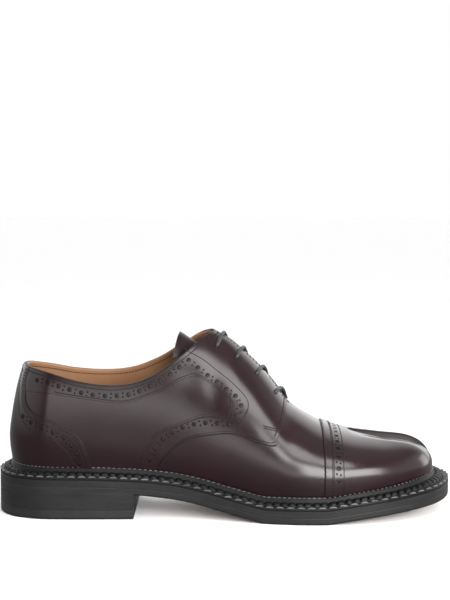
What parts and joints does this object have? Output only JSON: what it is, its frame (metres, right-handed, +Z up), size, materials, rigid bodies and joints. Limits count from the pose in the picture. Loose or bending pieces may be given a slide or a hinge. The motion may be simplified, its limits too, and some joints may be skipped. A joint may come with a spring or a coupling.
{
  "type": "brogue shoe",
  "caption": "Right laced derby brogue with a straight toe cap, cleft toe and broad storm-welted double leather sole on a low stacked heel.",
  "frame": {"origin": "on the floor under the middle of the shoe's length and width", "axes": "+X from heel to toe, +Z up, the outer side of the foot towards -Y"},
  "size_m": [0.305, 0.1062, 0.1223],
  "materials": {
    "sole_edge": "blackened, waxed edge",
    "top_lift": "matte",
    "welt": "blackened, ribbed and stitched",
    "lining": "smooth tan lining",
    "upper_leather": "burnished, polished",
    "overlay_leather": "burnished, polished",
    "lace": "round waxed cotton"
  },
  "bodies": {
    "root": {"outsole": "sole_edge", "midsole": "sole_edge", "heel": "sole_edge", "top_lift": "top_lift", "welt": "welt", "insole": "lining", "upper": "upper_leather", "heel_counter": "overlay_leather", "quarter_outer": "overlay_leather", "quarter_inner": "overlay_leather", "toe_cap": "overlay_leather", "tongue": "upper_leather", "lace": "lace"}
  },
  "joints": []
}
